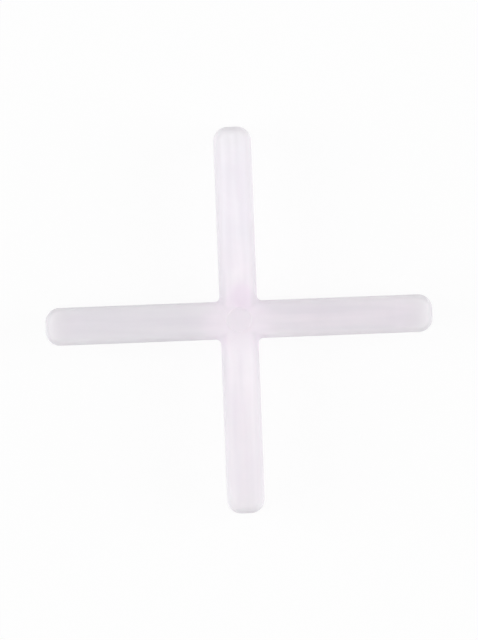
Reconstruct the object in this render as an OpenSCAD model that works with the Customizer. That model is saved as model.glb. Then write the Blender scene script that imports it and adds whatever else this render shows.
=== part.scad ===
// Cross-shaped tile spacer: a one-piece moulding with four equal arms.
// A tile corner sits in each quarter, and the arm width sets the joint between the tiles.
// Origin on the underside at the middle of the hub, +Z up, arms along X and Y, millimetres.

/* [Joint] */
// Width of each arm, which is the width of the joint it sets
joint_w = 2; // [1:0.5:6]
// Distance across the cross from tip to tip
span = 20.5; // [14:0.5:40]
// Height of the spacer in the joint
height = 3.5; // [2:0.1:8]

/* [Outline seen from above] */
// Corner radius of an arm tip, as a share of half the arm width
tip_round = 0.75; // [0.3:0.05:0.95]
// Radius of the fillet in each inner corner of the hub
hub_fillet_r = 0.25; // [0.15:0.05:1]

/* [Edges] */
// Radius along the upper edges
top_edge_r = 0.3; // [0.1:0.05:0.5]
// Radius along the lower edges
bottom_edge_r = 0.12; // [0.05:0.01:0.3]

/* [Mould marks] */
// Diameter of the round mark on the hub, as a share of the arm width
mark_share = 0.65; // [0.3:0.05:0.8]
// Depth of the round mark below the top face
mark_depth = 0.06; // [0.02:0.01:0.2]

/* [Colour] */
// Translucent white plastic, red green blue and opacity
body_colour = [0.93, 0.92, 0.95, 0.85]; // [0:0.01:1]

/* [Hidden] */
$fn = 64;

half_w = joint_w / 2;
reach = span / 2;
tip_r = tip_round * half_w;

// Edge radii never take up more than this share of the tip radius, so every edge keeps a flat.
edge_limit = 0.8;
top_r = min(top_edge_r, edge_limit * tip_r);
bottom_r = min(bottom_edge_r, edge_limit * tip_r);

// The middle of each hub fillet lies this far from both arm centre lines.
fillet_c = half_w + hub_fillet_r;
// Depth of a fillet web, measured from its curved face until it is full height inside the hub.
web_seat = 0.05;
web_depth = (hub_fillet_r + top_r) * sqrt(2) - hub_fillet_r + web_seat;

mark_r = mark_share * half_w;
// Cutting tools run this far past the faces they cut.
over = 1;

// What is cut away to round one corner of a profile whose corner point is at the origin and whose
// material lies towards -X and -Y.
module corner_cut(r) {
    difference() {
        translate([-r, -r])
            square(r + over);
        translate([-r, -r])
            circle(r);
    }
}

// Upright profile from x = 0 to x = depth, with its outer upper and lower edges rounded.
module edge_profile(depth) {
    difference() {
        square([depth, height]);
        translate([depth, height])
            corner_cut(top_r);
        translate([depth, 0])
            mirror([0, 1])
                corner_cut(bottom_r);
    }
}

// Cross section of a bar, both edges rounded.
module bar_section() {
    edge_profile(half_w);
    mirror([1, 0])
        edge_profile(half_w);
}

// Straight run of a bar along X, between the start of its two rounded tips.
module bar_run() {
    run = 2 * (reach - tip_r);
    translate([-run / 2, 0, 0])
        rotate([90, 0, 90])
            linear_extrude(run)
                bar_section();
}

// The short flat across the very end of an arm, between its two corners.
module tip_flat() {
    flat = 2 * (half_w - tip_r);
    translate([reach - tip_r, flat / 2, 0])
        rotate([90, 0, 0])
            linear_extrude(flat)
                edge_profile(tip_r);
}

// One rounded corner of an arm tip, on the +Y side.
module tip_corner() {
    translate([reach - tip_r, half_w - tip_r, 0])
        rotate_extrude(angle = 90)
            edge_profile(tip_r);
}

// The rounded tip of the arm along +X.
module arm_tip() {
    tip_flat();
    tip_corner();
    mirror([0, 1, 0])
        tip_corner();
}

// One bar along X with both of its tips.
module bar() {
    bar_run();
    for (side = [0, 1])
        mirror([side, 0, 0])
            arm_tip();
}

// Fillet between the +X and +Y arms: a web with a hollow round face, rounded above and below as
// the bars are, so that the edge rounding runs on through the inner corner.
module hub_fillet() {
    translate([fillet_c, fillet_c, 0])
        rotate([0, 0, 180])
            rotate_extrude(angle = 90)
                translate([hub_fillet_r + web_depth, 0])
                    mirror([1, 0])
                        edge_profile(web_depth);
}

// Shallow round recess that an ejector pin leaves in the middle of the hub.
module ejector_mark() {
    translate([0, 0, height - mark_depth])
        cylinder(h = mark_depth + over, r = mark_r);
}

module spacer() {
    color(body_colour)
        difference() {
            union() {
                bar();
                rotate([0, 0, 90])
                    bar();
                for (quarter = [0 : 3])
                    rotate([0, 0, 90 * quarter])
                        hub_fillet();
            }
            ejector_mark();
        }
}

spacer();
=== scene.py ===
"""Looks of a cross-shaped tile spacer in translucent white plastic, lying on a white table."""

import math

import bpy
from bpy.props import FloatProperty, FloatVectorProperty, IntProperty, PointerProperty
from mathutils import Matrix, Vector


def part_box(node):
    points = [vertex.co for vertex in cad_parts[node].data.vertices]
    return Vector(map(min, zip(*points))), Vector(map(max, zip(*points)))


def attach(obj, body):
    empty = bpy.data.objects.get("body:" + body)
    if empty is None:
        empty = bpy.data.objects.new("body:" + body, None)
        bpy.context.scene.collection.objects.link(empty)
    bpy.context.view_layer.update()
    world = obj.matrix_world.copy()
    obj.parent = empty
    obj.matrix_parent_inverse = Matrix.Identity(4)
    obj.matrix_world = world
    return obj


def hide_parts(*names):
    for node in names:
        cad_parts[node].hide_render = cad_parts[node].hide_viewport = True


bl_info = {
    "name": "Tile Spacer",
    "version": (1, 0, 0),
    "blender": (4, 5, 0),
    "location": "3D View > Sidebar > Tile Spacer",
    "description": "Builds the moulded cross of a tile spacer, its plastic and its stage",
    "category": "Object",
}

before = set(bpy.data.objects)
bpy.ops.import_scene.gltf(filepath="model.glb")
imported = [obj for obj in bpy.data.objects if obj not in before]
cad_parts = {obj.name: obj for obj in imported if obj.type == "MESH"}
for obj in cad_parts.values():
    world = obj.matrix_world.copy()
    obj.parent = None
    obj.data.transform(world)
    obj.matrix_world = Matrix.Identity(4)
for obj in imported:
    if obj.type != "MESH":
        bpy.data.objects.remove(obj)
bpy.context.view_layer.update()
LOW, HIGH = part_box("spacer")

MM = 0.001
WHITE = (1.0, 1.0, 1.0, 1.0)


# ---------------------------------------------------------------- sizes and colours


class SpacerSizes(bpy.types.PropertyGroup):
    """Sizes of the moulding, which follow the solid it stands for."""

    span: FloatProperty(
        name="Span",
        description="Distance across the cross from tip to tip",
        default=HIGH.x - LOW.x,
        unit="LENGTH",
    )
    height: FloatProperty(
        name="Height",
        description="Height above the table",
        default=HIGH.z - LOW.z,
        unit="LENGTH",
    )
    arm_width: FloatProperty(
        name="Arm width",
        description="Width of each arm, which sets the joint",
        default=2.0 * MM,
        unit="LENGTH",
    )
    tip_radius: FloatProperty(
        name="Tip radius",
        description="Radius of the two corners of an arm tip, seen from above",
        default=0.75 * MM,
        unit="LENGTH",
    )
    hub_fillet: FloatProperty(
        name="Hub fillet",
        description="Radius in each inner corner of the hub",
        default=0.25 * MM,
        unit="LENGTH",
    )
    top_edge: FloatProperty(
        name="Upper edge radius",
        description="Radius along the upper edges",
        default=0.3 * MM,
        unit="LENGTH",
    )
    bottom_edge: FloatProperty(
        name="Lower edge radius",
        description="Radius along the lower edges",
        default=0.12 * MM,
        unit="LENGTH",
    )
    mark_radius: FloatProperty(
        name="Mark radius",
        description="Radius of the round mould mark on the hub",
        default=0.65 * MM,
        unit="LENGTH",
    )
    mark_depth: FloatProperty(
        name="Mark depth",
        description="Depth of the round mould mark",
        default=0.06 * MM,
        unit="LENGTH",
    )
    sink: FloatProperty(
        name="Sink",
        description="How far the plastic has shrunk in along the middle of each arm",
        default=0.02 * MM,
        unit="LENGTH",
    )
    columns: IntProperty(
        name="Columns",
        description="Faces across an arm",
        default=20,
        min=4,
    )


class PlasticLook(bpy.types.PropertyGroup):
    """Colours and surface of the translucent plastic, with painted shade at its edges and tips and
    painted light in its hub.
    """

    milk: FloatVectorProperty(
        name="Milk",
        description="Main colour of the plastic, as it leaves the hub",
        default=(0.95, 0.865, 0.95),
        size=3,
        subtype="COLOR",
    )
    right_cast: FloatVectorProperty(
        name="Right cast",
        description="Main colour of the arm along +X",
        default=(0.855, 0.775, 0.855),
        size=3,
        subtype="COLOR",
    )
    left_cast: FloatVectorProperty(
        name="Left cast",
        description="Main colour of the arm along -X",
        default=(0.805, 0.765, 0.825),
        size=3,
        subtype="COLOR",
    )
    upper_cast: FloatVectorProperty(
        name="Upper cast",
        description="Main colour of the arm along +Y",
        default=(0.87, 0.835, 0.91),
        size=3,
        subtype="COLOR",
    )
    lower_cast: FloatVectorProperty(
        name="Lower cast",
        description="Main colour of the outer part of the arm along -Y",
        default=(0.785, 0.745, 0.785),
        size=3,
        subtype="COLOR",
    )
    shade: FloatVectorProperty(
        name="Shade",
        description="Colour of the slightly denser clouds in the plastic",
        default=(0.70, 0.665, 0.73),
        size=3,
        subtype="COLOR",
    )
    # Painted light: the hub is coloured lighter, as it would look with more light reaching it
    painted_hub_light: FloatVectorProperty(
        name="Hub milk",
        description="Colour of the plastic in the hub, where it is thickest",
        default=(1.0, 0.83, 1.0),
        size=3,
        subtype="COLOR",
    )
    # A darker spot at the edge of the hub
    hub_spot: FloatVectorProperty(
        name="Hub spot",
        description="Colour of a denser spot at the edge of the hub",
        default=(0.85, 0.735, 0.86),
        size=3,
        subtype="COLOR",
    )
    # Painted shade along the rounded upper edges, coloured darker as they look in shade
    painted_edge_shade: FloatVectorProperty(
        name="Edge tone",
        description="Colour along the rounded upper edges",
        default=(0.665, 0.635, 0.685),
        size=3,
        subtype="COLOR",
    )
    # Painted shade on the tips of the arms along X, holding back the glow the side lamps give them
    painted_tip_shade: FloatVectorProperty(
        name="Tip tone",
        description="Colour of the tips of the arms along X",
        default=(0.69, 0.665, 0.705),
        size=3,
        subtype="COLOR",
    )
    # Painted shade at the very ends of the arms along X, over the light rim the lamps give them
    painted_tip_end_shade: FloatVectorProperty(
        name="Tip rim",
        description="Colour of the very end of the arms along X",
        default=(0.58, 0.56, 0.6),
        size=3,
        subtype="COLOR",
    )
    glow: FloatVectorProperty(
        name="Glow",
        description="How far red, green and blue light travels in the plastic",
        default=(1.0, 0.9, 0.95),
        size=3,
    )
    glow_depth: FloatProperty(
        name="Glow depth",
        description="Distance that light travels in the plastic",
        default=5.0 * MM,
        unit="LENGTH",
    )
    gloss: FloatProperty(
        name="Gloss",
        description="Strength of the reflections on the surface",
        default=0.13,
        min=0.0,
        max=1.0,
        subtype="FACTOR",
    )
    roughness: FloatProperty(
        name="Roughness",
        description="Roughness of the moulded surface",
        default=0.6,
        min=0.0,
        max=1.0,
        subtype="FACTOR",
    )


class StageLook(bpy.types.PropertyGroup):
    """Table, lamps and camera."""

    table_colour: FloatVectorProperty(
        name="Table colour",
        description="Colour of the table",
        default=(0.95, 0.95, 0.95),
        size=3,
        subtype="COLOR",
    )
    table_lift: FloatProperty(
        name="Table lift",
        description="Share of plain white in the table where the eye meets it",
        default=0.92,
        min=0.0,
        max=1.0,
        subtype="FACTOR",
    )
    table_radius: FloatProperty(
        name="Table radius",
        description="Radius of the round table",
        default=1.5,
        unit="LENGTH",
    )
    side_power: FloatProperty(
        name="Side lamp power",
        description="Power of each of the two side lamps",
        default=1.34,
        unit="POWER",
    )
    top_power: FloatProperty(
        name="Top lamp power",
        description="Power of the lamp overhead",
        default=0.37,
        unit="POWER",
    )
    room_light: FloatProperty(
        name="Room light",
        description="Strength of the light from all around",
        default=0.47,
        min=0.0,
    )
    camera_distance: FloatProperty(
        name="Camera distance",
        description="Distance from the camera to the hub",
        default=0.6,
        unit="LENGTH",
    )
    frame_height: FloatProperty(
        name="Frame height",
        description="Height of the picture where the spacer lies",
        default=34.0 * MM,
        unit="LENGTH",
    )
    turn: FloatProperty(
        name="Turn",
        description="How far the cross is turned anticlockwise in the picture",
        default=math.radians(2.2),
        unit="ROTATION",
    )


# ---------------------------------------------------------------- shader expressions


class Value:
    """A socket of a node tree. Arithmetic on it adds the Math nodes that carry it out."""

    def __init__(self, finish, socket):
        self.finish = finish
        self.socket = socket

    def output(self, name):
        """Another output of the same node."""
        return Value(self.finish, self.socket.node.outputs[name])

    def _math(self, operation, *terms):
        return self.finish.node("ShaderNodeMath", {"operation": operation}, dict(enumerate(terms)))

    def __add__(self, other):
        return self._math("ADD", self, other)

    __radd__ = __add__

    def __sub__(self, other):
        return self._math("SUBTRACT", self, other)

    def __rsub__(self, other):
        return self._math("SUBTRACT", other, self)

    def __mul__(self, other):
        return self._math("MULTIPLY", self, other)

    __rmul__ = __mul__

    def __abs__(self):
        return self._math("ABSOLUTE", self)

    def least(self, other):
        return self._math("MINIMUM", self, other)

    def most(self, other):
        return self._math("MAXIMUM", self, other)


class Finish:
    """The nodes of a material, or of the light in the room, under construction."""

    def __init__(self, owner):
        owner.use_nodes = True
        self.tree = owner.node_tree
        self.tree.nodes.clear()

    def node(self, kind, settings=None, sockets=None):
        """Adds a node. Its settings are set first, then each socket, given by its name or its
        number among those in use, gets a value or a link. Gives the node's first output."""
        node = self.tree.nodes.new(kind)
        for key, setting in (settings or {}).items():
            setattr(node, key, setting)
        in_use = [socket for socket in node.inputs if socket.enabled]
        named = {socket.name: socket for socket in reversed(in_use)}
        for key, given in (sockets or {}).items():
            socket = in_use[key] if isinstance(key, int) else named[key]
            if isinstance(given, Value):
                self.tree.links.new(given.socket, socket)
            else:
                socket.default_value = given
        outputs = [socket for socket in node.outputs if socket.enabled]
        return Value(self, outputs[0]) if outputs else None

    def mix(self, first, second, factor):
        """Blends two colours."""
        return self.node(
            "ShaderNodeMix",
            {"data_type": "RGBA"},
            {"Factor": factor, "A": first, "B": second},
        )

    def spread(self, value, low, high, out_low=0.0, out_high=1.0):
        """Smoothly maps low to high onto out_low to out_high."""
        return self.node(
            "ShaderNodeMapRange",
            {"interpolation_type": "SMOOTHSTEP", "clamp": True},
            {
                "Value": value,
                "From Min": low,
                "From Max": high,
                "To Min": out_low,
                "To Max": out_high,
            },
        )

    def noise(self, place, scale, detail=2.0, distortion=0.0):
        """Smooth noise, scale in features per millimetre."""
        return self.node(
            "ShaderNodeTexNoise",
            {"noise_dimensions": "3D"},
            {"Vector": place, "Scale": scale / MM, "Detail": detail, "Distortion": distortion},
        )

    def stretched(self, place, along, across, seed):
        """Noise drawn out along X, along and across in features per millimetre."""
        drawn = self.node(
            "ShaderNodeMapping",
            {"vector_type": "POINT"},
            {"Vector": place, "Location": seed, "Scale": (along / across, 1.0, 1.0)},
        )
        return self.noise(drawn, across)

    def around(self, place, x, y, inner, outer):
        """1 near the upright line through x, y, fading to 0 from inner to outer. Millimetres."""
        level = self.node(
            "ShaderNodeVectorMath",
            {"operation": "MULTIPLY_ADD"},
            {0: place, 1: (1.0, 1.0, 0.0), 2: (-x * MM, -y * MM, 0.0)},
        )
        away = self.node("ShaderNodeVectorMath", {"operation": "LENGTH"}, {0: level})
        return self.spread(away, inner * MM, outer * MM, 1.0, 0.0)

    def seen(self):
        """1 where the eye meets this directly, in a gloss or through the plastic, else 0."""
        paths = self.node("ShaderNodeLightPath")
        return (
            paths.output("Is Camera Ray")
            + paths.output("Is Glossy Ray")
            + paths.output("Is Transmission Ray")
        )


def rgba(colour):
    return (*colour, 1.0)


class Plastic:
    """Translucent white polyethylene: milky clouds, faint flow lines, a fine mould texture."""

    # How fine the noises are, in features per millimetre
    FLOW_ALONG, FLOW_ACROSS = 0.1, 1.15
    CLOUDS = 0.42
    GRAIN = 9.0
    PATCHES = 1.1

    # Half of the way over which the looks of the arms along X change to those along Y
    HUB_BLEND = 1.2 * MM

    def __init__(self, look, sizes):
        self.look = look
        self.sizes = sizes
        self.material = bpy.data.materials.new("translucent_white_plastic")
        self.finish = Finish(self.material)
        self.place = self.finish.node("ShaderNodeTexCoord").output("Object")
        axes = self.finish.node("ShaderNodeSeparateXYZ", {}, {"Vector": self.place})
        self.along_x, self.along_y, self.z = (axes.output(name) for name in "XYZ")
        self.x, self.y = abs(self.along_x), abs(self.along_y)
        # 1 on the arms along X, 0 on the arms along Y, and a soft change in the hub
        self.on_x_arm = self.finish.spread(self.x - self.y, -self.HUB_BLEND, self.HUB_BLEND)
        self.flow = self.flow_lines()
        self.grain = self.finish.noise(self.place, self.GRAIN, detail=3.0)
        self.shade(self.with_painted_edge_and_tip_shade(self.with_painted_hub_light_and_spot(self.body_colour())))

    def flow_lines(self):
        """Faint lines along each arm, left as the plastic filled the mould."""
        turned = self.finish.node(
            "ShaderNodeMapping",
            {"vector_type": "POINT"},
            {"Vector": self.place, "Rotation": (0.0, 0.0, math.radians(90.0))},
        )
        fineness = self.FLOW_ALONG, self.FLOW_ACROSS
        flow_x = self.finish.stretched(self.place, *fineness, (0.017, 0.0034, 0.0))
        flow_y = self.finish.stretched(turned, *fineness, (0.033, 0.0075, 0.0))
        return flow_x * self.on_x_arm + flow_y * (1.0 - self.on_x_arm)

    def body_colour(self):
        """Each arm takes on a cast of its own between two places along it, below the clouds."""
        look, finish = self.look, self.finish
        colour = rgba(look.milk)
        for along, start, full, cast in (
            (self.along_x, 0.5, 4.6, look.right_cast),
            (self.along_x, -0.5, -3.2, look.left_cast),
            (self.along_y, 2.6, 4.8, look.upper_cast),
            (self.along_y, -1.0, -6.5, look.lower_cast),
        ):
            colour = finish.mix(colour, rgba(cast), finish.spread(along, start * MM, full * MM))
        clouds = finish.noise(self.place, self.CLOUDS, detail=3.0, distortion=0.4)
        density = finish.spread(clouds * 0.25 + self.flow * 0.75, 0.34, 0.66)
        return finish.mix(colour, rgba(look.shade), density * 0.6)

    def with_painted_hub_light_and_spot(self, colour):
        """Painted light makes the hub lighter, a little towards -Y, and a darker spot lies where
        the arm along +Y leaves it.
        """
        finish = self.finish
        # Painted light in the hub
        hub = finish.around(self.place, 0.0, -0.3, 0.3, 2.3)
        colour = finish.mix(colour, rgba(self.look.painted_hub_light), hub)
        # A darker spot where the arm along +Y leaves the hub
        spot = finish.around(self.place, 0.2, 1.3, 0.3, 1.05)
        return finish.mix(colour, rgba(self.look.hub_spot), spot * 0.8)

    def with_painted_edge_and_tip_shade(self, colour):
        """Painted shade: the rounded upper edges are coloured darker, more so on the arms along Y,
        and so are the tips of the arms along X, darkest at their very ends."""
        look, finish = self.look, self.finish
        top = self.sizes.height
        radius = self.sizes.tip_radius
        reach = self.sizes.span / 2
        tip_start = reach - radius
        core = self.sizes.arm_width / 2 - radius

        # Distance outwards from the core of an arm. It is the radius all along the outline.
        along_arm = self.x.most(self.y)
        across = (self.x.least(self.y) - core).most(0.0)
        beyond = (along_arm - tip_start).most(0.0)
        outward = finish.node("ShaderNodeCombineXYZ", {}, {0: across, 1: beyond})
        outward = finish.node("ShaderNodeVectorMath", {"operation": "LENGTH"}, {0: outward})

        # Mask of the painted shade along the rounded upper edges
        edge = finish.spread(outward, radius - 0.47 * MM, radius - 0.07 * MM)
        edge = edge * finish.spread(self.z, top - 0.4 * MM, top - 0.15 * MM)
        colour = finish.mix(colour, rgba(look.painted_edge_shade), edge * (1.0 - self.on_x_arm * 0.9))
        # Painted shade on the tips of the arms along X
        tip = finish.spread(along_arm, reach - 1.95 * MM, reach - 0.35 * MM) * self.on_x_arm
        colour = finish.mix(colour, rgba(look.painted_tip_shade), tip)
        # Painted shade at the very ends of the arms along X
        rim = finish.spread(outward, radius - 0.32 * MM, radius - 0.07 * MM)
        rim = rim * finish.spread(self.x, tip_start - 0.1 * MM, tip_start + 0.4 * MM)
        return finish.mix(colour, rgba(look.painted_tip_end_shade), rim)

    def shade(self, colour):
        """Puts the colour, an uneven gloss and the mould texture on one translucent shader."""
        finish = self.finish
        patches = finish.noise(self.place, self.PATCHES)
        roughness = (
            self.look.roughness
            + finish.spread(self.grain, 0.3, 0.7, -0.04, 0.05)
            + finish.spread(patches, 0.3, 0.7, -0.05, 0.07)
        )
        texture = self.grain * 0.4 + self.flow * 2.0
        bump = finish.node(
            "ShaderNodeBump",
            {},
            {"Strength": 0.6, "Distance": 0.012 * MM, "Height": texture},
        )
        shader = finish.node(
            "ShaderNodeBsdfPrincipled",
            {"subsurface_method": "RANDOM_WALK"},
            {
                "Base Color": colour,
                "Roughness": roughness,
                "Normal": bump,
                "IOR": 1.51,
                "Subsurface Weight": 1.0,
                "Subsurface Radius": tuple(self.look.glow),
                "Subsurface Scale": self.look.glow_depth,
                "Specular IOR Level": self.look.gloss,
            },
        )
        finish.node("ShaderNodeOutputMaterial", {}, {"Surface": shader})


# The table's tooth, in features per millimetre, and how dark it makes the table
TOOTH_FINENESS = 0.8
TOOTH_SHADE = 0.985


def table_finish(look):
    """White table with a barely visible tooth, lifted to white where the eye meets it."""
    material = bpy.data.materials.new("white_table")
    finish = Finish(material)
    place = finish.node("ShaderNodeTexCoord").output("Object")
    tooth = finish.spread(finish.noise(place, TOOTH_FINENESS, detail=3.0), 0.35, 0.65)
    base = Vector(look.table_colour)
    colour = finish.mix(rgba(base), rgba(base * TOOTH_SHADE), tooth)
    paper = finish.node(
        "ShaderNodeBsdfPrincipled",
        {},
        {"Base Color": colour, "Roughness": 0.75, "Specular IOR Level": 0.2},
    )
    white = finish.node("ShaderNodeEmission", {}, {"Color": WHITE, "Strength": 1.0})
    lifted = finish.seen() * look.table_lift
    both = finish.node("ShaderNodeMixShader", {}, {0: lifted, 1: paper, 2: white})
    finish.node("ShaderNodeOutputMaterial", {}, {"Surface": both})
    return material


def room_finish(look):
    """Even light from all around, which the eye meets as white."""
    world = bpy.data.worlds.new("room")
    finish = Finish(world)
    light = finish.node("ShaderNodeBackground", {}, {"Color": WHITE, "Strength": look.room_light})
    shown = finish.node("ShaderNodeBackground", {}, {"Color": WHITE, "Strength": 1.0})
    both = finish.node("ShaderNodeMixShader", {}, {0: finish.seen(), 1: light, 2: shown})
    finish.node("ShaderNodeOutputWorld", {}, {"Surface": both})
    return world


# ---------------------------------------------------------------- the moulding


def arc(centre, radius, start, end, steps):
    """Points and directions from the centre along an arc, both ends included. Angles in degrees."""
    found = []
    for step in range(steps + 1):
        angle = math.radians(start + (end - start) * step / steps)
        away = Vector((math.cos(angle), math.sin(angle)))
        found.append((centre + away * radius, away))
    return found


class ArmOutline:
    """Outline of the arm along +X as points with outward directions, anticlockwise from the
    middle of one hub fillet to the middle of the next."""

    FILLET_STEPS = 5
    CORNER_STEPS = 12
    RUN_STEP = 0.22 * MM

    def __init__(self, sizes):
        half = sizes.arm_width / 2
        reach = sizes.span / 2
        tip = sizes.tip_radius
        centre = half + sizes.hub_fillet
        run_end = reach - tip
        fillet = arc(Vector((centre, -centre)), sizes.hub_fillet, 135, 90, self.FILLET_STEPS)
        side = [(point, -away) for point, away in fillet]
        steps = round((run_end - centre) / self.RUN_STEP)
        for step in range(1, steps):
            x = centre + (run_end - centre) * step / steps
            side.append((Vector((x, -half)), Vector((0.0, -1.0))))
        side += arc(Vector((run_end, tip - half)), tip, -90, 0, self.CORNER_STEPS)
        flat = []
        for column in range(1, sizes.columns):
            y = (half - tip) * (2 * column / sizes.columns - 1)
            flat.append((Vector((reach, y)), Vector((1.0, 0.0))))
        back = [
            (Vector((point.x, -point.y)), Vector((away.x, -away.y)))
            for point, away in reversed(side)
        ]
        self.stations = len(side) - 1
        self.columns = sizes.columns
        # The last point is the first of the next arm.
        self.points = (side + flat + back)[:-1]


def edge_steps(sizes):
    """The upright profile, from the underside to the top face, as (inset, height) pairs."""
    low, high = sizes.bottom_edge, sizes.top_edge
    low_steps, high_steps, side_steps = 5, 10, 14
    profile = []
    for step in range(low_steps + 1):
        turn = math.radians(90 * step / low_steps)
        profile.append((low * (1 - math.sin(turn)), low * (1 - math.cos(turn))))
    side = sizes.height - low - high
    for step in range(1, side_steps):
        profile.append((0.0, low + side * step / side_steps))
    for step in range(high_steps + 1):
        turn = math.radians(90 * step / high_steps)
        profile.append((high * (1 - math.cos(turn)), sizes.height - high * (1 - math.sin(turn))))
    return profile


def smooth(value):
    value = min(max(value, 0.0), 1.0)
    return value * value * (3 - 2 * value)


class CrossMesh:
    """Vertices and faces of the cross: a wall that follows the outline, and two caps."""

    ARMS = 4
    # Width of the slope round the mark, and the way over which the sink fades in from a tip
    MARK_SLOPE = 0.05 * MM
    SINK_FADE = 1.6 * MM

    def __init__(self, sizes):
        self.sizes = sizes
        self.vertices = []
        self.faces = []
        arm = ArmOutline(sizes)
        self.stations = arm.stations
        self.columns = arm.columns
        self.per_arm = len(arm.points)
        self.ring = []
        for quarter in range(self.ARMS):
            turn = Matrix.Rotation(math.radians(90 * quarter), 2)
            self.ring += [(turn @ point, turn @ away) for point, away in arm.points]
        profile = edge_steps(sizes)
        rows = [self.add_row(inset, height) for inset, height in profile]
        for below, above in zip(rows, rows[1:]):
            self.join(below, above)
        self.cap(rows[-1], sizes.height, upward=True)
        self.cap(rows[0], 0.0, upward=False)

    def add(self, x, y, z):
        self.vertices.append((x, y, z))
        return len(self.vertices) - 1

    def add_row(self, inset, height):
        row = []
        for point, away in self.ring:
            place = point - away * inset
            row.append(self.add(place.x, place.y, height))
        return row

    def join(self, below, above, upward=True):
        """Joins two closed rows of equal length with a band of faces."""
        count = len(below)
        for index in range(count):
            after = (index + 1) % count
            face = (below[index], below[after], above[after], above[index])
            self.faces.append(face if upward else face[::-1])

    def sunk(self, across, from_tip):
        """Depth of the sink: across runs from -1 to 1 over the arm, from_tip is a distance."""
        near_tip = smooth(from_tip / self.SINK_FADE)
        return self.sizes.sink * (1 - across * across) ** 2 * near_tip

    def cap(self, row, height, upward):
        """Closes one end: a grid on each arm, and rings round the middle of the hub."""
        reach = self.sizes.span / 2
        chord = []
        for quarter in range(self.ARMS):
            first = quarter * self.per_arm
            lines = []
            for station in range(self.stations + 1):
                low = row[first + station]
                top_index = first + 2 * self.stations + self.columns - station
                high = row[top_index % len(row)]
                if station == self.stations:
                    start = first + self.stations
                    lines.append([row[start + k] for k in range(self.columns + 1)])
                    continue
                start, end = Vector(self.vertices[low]), Vector(self.vertices[high])
                line = [low]
                for column in range(1, self.columns):
                    place = start.lerp(end, column / self.columns)
                    if upward:
                        across = 2 * column / self.columns - 1
                        from_tip = reach - max(abs(place.x), abs(place.y))
                        place.z -= self.sunk(across, from_tip)
                    line.append(self.add(*place))
                line.append(high)
                lines.append(line)
            for near, far in zip(lines, lines[1:]):
                for k in range(self.columns):
                    face = (near[k], far[k], far[k + 1], near[k + 1])
                    self.faces.append(face if upward else face[::-1])
            chord += lines[0][:-1]
        self.hub(chord, height, upward)

    def hub(self, edge, height, upward):
        """Rings from the square between the arms to the round mark, and its floor."""
        sizes = self.sizes
        count = len(edge)
        lip = self.MARK_SLOPE
        radius = sizes.mark_radius
        rim = radius + lip
        shelf = sizes.sink if upward else 0.0
        depth = sizes.mark_depth if upward else 0.0
        # Distance of each ring from the middle, and the share of the mark's depth it lies at
        steps = [
            (rim, 0.0),
            (radius + 0.45 * lip, 0.04),
            (radius + 0.15 * lip, 0.2),
            (radius, 0.5),
            (radius - 0.15 * lip, 0.8),
            (radius - 0.45 * lip, 0.96),
            (radius - lip, 1.0),
            (0.75 * radius, 1.0),
            (0.45 * radius, 1.0),
            (0.2 * radius, 1.0),
        ]

        def around(index, distance, share):
            angle = math.radians(-45 + 360 * index / count)
            level = height - shelf - depth * share
            return Vector((distance * math.cos(angle), distance * math.sin(angle), level))

        outer = edge
        for blend in (0.25, 0.5, 0.75):
            inner = []
            for index in range(count):
                square = Vector(self.vertices[edge[index]])
                inner.append(self.add(*square.lerp(around(index, rim, 0.0), blend)))
            self.join(outer, inner, upward)
            outer = inner
        for distance, share in steps:
            inner = [self.add(*around(index, distance, share)) for index in range(count)]
            self.join(outer, inner, upward)
            outer = inner
        middle = self.add(0.0, 0.0, height - shelf - depth)
        for index in range(count):
            face = (outer[index], outer[(index + 1) % count], middle)
            self.faces.append(face if upward else face[::-1])


class SPACER_OT_moulding(bpy.types.Operator):
    """Build the moulded cross with rounded tips, edges and hub, in translucent plastic"""

    bl_idname = "spacer.moulding"
    bl_label = "Moulded Cross"

    def execute(self, context):
        sizes = context.scene.spacer_sizes
        cross = CrossMesh(sizes)
        mesh = bpy.data.meshes.new("spacer_moulding")
        mesh.from_pydata(cross.vertices, [], cross.faces)
        if mesh.validate():
            raise RuntimeError("the moulding has faces that had to be repaired")
        mesh.polygons.foreach_set("use_smooth", [True] * len(mesh.polygons))
        piece = bpy.data.objects.new("spacer_moulding", mesh)
        context.scene.collection.objects.link(piece)
        piece.data.materials.append(Plastic(context.scene.plastic_look, sizes).material)
        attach(piece, "root")
        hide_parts("spacer")
        return {"FINISHED"}


# ---------------------------------------------------------------- the stage


# Side of the camera's square sensor, in millimetres
SENSOR = 36.0


def lamp(name, place, size, power):
    """A soft lamp that points at the spacer. Its place and its size are in metres."""
    light = bpy.data.lights.new(name, "AREA")
    light.shape = "RECTANGLE"
    light.size, light.size_y = size
    light.energy = power
    holder = bpy.data.objects.new(name, light)
    holder.location = place
    holder.rotation_euler = (-Vector(place)).to_track_quat("-Z", "Y").to_euler()
    bpy.context.scene.collection.objects.link(holder)


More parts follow.
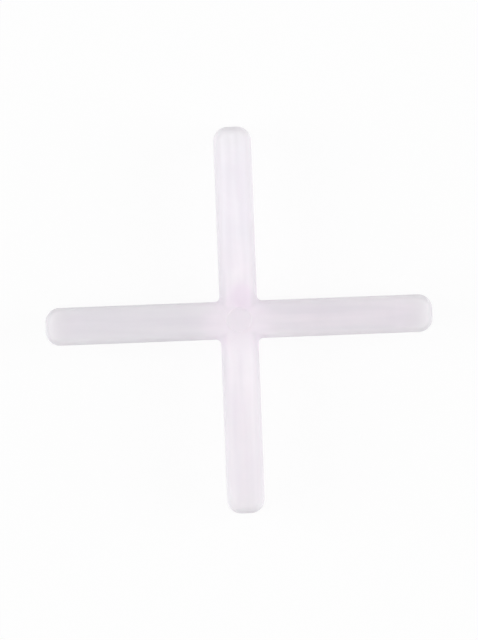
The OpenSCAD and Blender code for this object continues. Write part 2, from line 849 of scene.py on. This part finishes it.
class SPACER_OT_stage(bpy.types.Operator):
    """Build the white table, the soft lamps, the room and the camera"""

    bl_idname = "spacer.stage"
    bl_label = "Stage"

    def execute(self, context):
        look = context.scene.stage_look
        self.table(look)
        for name, away in (("lamp_left", -0.42), ("lamp_right", 0.42)):
            lamp(name, (away, 0.0, 0.14), (0.3, 0.5), look.side_power)
        lamp("lamp_top", (0.0, 0.0, 0.75), (0.35, 0.35), look.top_power)
        context.scene.world = room_finish(look)
        self.camera(context.scene, look)
        context.scene.view_settings.view_transform = "Standard"
        return {"FINISHED"}

    def table(self, look):
        gap = 0.02 * MM
        sides = 96
        rim = arc(Vector((0.0, 0.0)), look.table_radius, 0, 360 - 360 / sides, sides - 1)
        mesh = bpy.data.meshes.new("table")
        corners = [(point.x, point.y, -gap) for point, _ in rim]
        mesh.from_pydata(corners, [], [tuple(range(sides))])
        table = bpy.data.objects.new("table", mesh)
        bpy.context.scene.collection.objects.link(table)
        table.data.materials.append(table_finish(look))

    def camera(self, scene, look):
        """Straight above, with the cross turned slightly in the picture."""
        data = bpy.data.cameras.new("camera")
        data.sensor_width = data.sensor_height = SENSOR
        data.lens = SENSOR * look.camera_distance / look.frame_height
        data.clip_start = 0.01
        data.clip_end = 50.0
        camera = bpy.data.objects.new("camera", data)
        pose = Matrix.Rotation(-look.turn, 4, "Z")
        pose.translation = (0.0, 0.0, (HIGH.z + LOW.z) / 2 + look.camera_distance)
        camera.matrix_world = pose
        scene.collection.objects.link(camera)
        scene.camera = camera


# ---------------------------------------------------------------- panel and registration


class SPACER_PT_panel(bpy.types.Panel):
    """The spacer's builders, sizes and colours"""

    bl_idname = "SPACER_PT_panel"
    bl_label = "Tile Spacer"
    bl_space_type = "VIEW_3D"
    bl_region_type = "UI"
    bl_category = "Tile Spacer"

    def draw(self, context):
        layout = self.layout
        for operator in BUILDERS:
            layout.operator(operator.bl_idname)
        for name, group in GROUPS.items():
            box = layout.box()
            for key in group.__annotations__:
                box.prop(getattr(context.scene, name), key)


BUILDERS = (SPACER_OT_stage, SPACER_OT_moulding)
GROUPS = {"spacer_sizes": SpacerSizes, "plastic_look": PlasticLook, "stage_look": StageLook}


def register():
    for group in GROUPS.values():
        bpy.utils.register_class(group)
    for cls in (*BUILDERS, SPACER_PT_panel):
        bpy.utils.register_class(cls)
    for name, group in GROUPS.items():
        setattr(bpy.types.Scene, name, PointerProperty(type=group))


def unregister():
    for name in GROUPS:
        delattr(bpy.types.Scene, name)
    for cls in (SPACER_PT_panel, *reversed(BUILDERS)):
        bpy.utils.unregister_class(cls)
    for group in reversed(list(GROUPS.values())):
        bpy.utils.unregister_class(group)


def main():
    register()
    bpy.ops.spacer.stage()
    bpy.ops.spacer.moulding()


if __name__ == "__main__":
    main()
